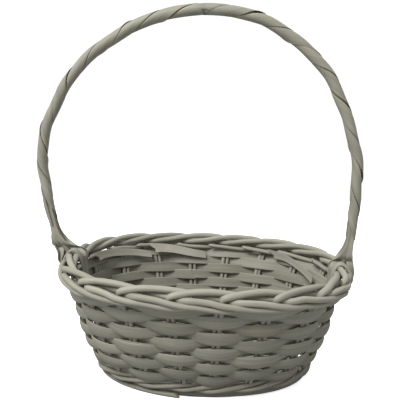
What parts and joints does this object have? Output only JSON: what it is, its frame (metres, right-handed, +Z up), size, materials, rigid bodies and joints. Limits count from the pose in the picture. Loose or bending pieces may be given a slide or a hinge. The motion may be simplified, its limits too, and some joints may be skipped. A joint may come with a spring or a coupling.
{
  "type": "woven market basket",
  "caption": "Oval woven willow basket with flared split-weave sides, a rolled rod border and a tall wrapped hoop handle, washed grey",
  "frame": {"origin": "middle of the flat underside of the foot hoop, on the surface the basket stands on", "axes": "+X along the basket's length and the plane of the hoop handle, +Y from front to back, +Z up"},
  "size_m": [0.318, 0.2228, 0.3578],
  "materials": {
    "base_sticks": "grey-washed split willow sticks, matt",
    "base_rounds": "grey-washed round willow rods, matt",
    "foot_rods": "grey-washed round willow rods, matt",
    "stakes": "grey-washed round willow rods, satin matt",
    "by_stakes": "grey-washed thin willow rods, matt",
    "weavers": "grey-washed flat split willow with fine long grain, matt",
    "bow_rod": "grey-washed thick willow rod, matt",
    "skeins": "grey-washed flat willow skein with long grain, satin matt",
    "lashings": "grey-washed round willow rods, matt"
  },
  "bodies": {
    "root": {"cross_stick_1": "base_sticks", "cross_stick_2": "base_sticks", "cross_stick_3": "base_sticks", "cross_stick_4": "base_sticks", "long_stick_1": "base_sticks", "long_stick_2": "base_sticks", "long_stick_3": "base_sticks", "long_stick_4": "base_sticks", "long_stick_5": "base_sticks", "base_weave": "base_rounds", "foot_hoop": "foot_rods", "foot_wale_1": "foot_rods", "foot_wale_2": "foot_rods", "foot_wale_3": "foot_rods", "stake_01": "stakes", "stake_02": "stakes", "stake_03": "stakes", "stake_04": "stakes", "stake_05": "stakes", "stake_06": "stakes", "stake_07": "stakes", "stake_08": "stakes", "stake_09": "stakes", "stake_10": "stakes", "stake_11": "stakes", "stake_12": "stakes", "stake_13": "stakes", "stake_14": "stakes", "stake_15": "stakes", "stake_16": "stakes", "stake_17": "stakes", "stake_18": "stakes", "by_stakes": "by_stakes", "row_01": "weavers", "row_02": "weavers", "row_03": "weavers", "row_04": "weavers", "row_05": "weavers", "row_06": "weavers", "row_07": "weavers", "row_08": "weavers", "row_09": "weavers", "row_10": "weavers", "handle_bow": "bow_rod", "skein_1": "skeins", "skein_2": "skeins", "skein_3": "skeins", "left_tails": "skeins", "right_tails": "skeins", "left_lashing": "lashings", "right_lashing": "lashings"}
  },
  "joints": []
}
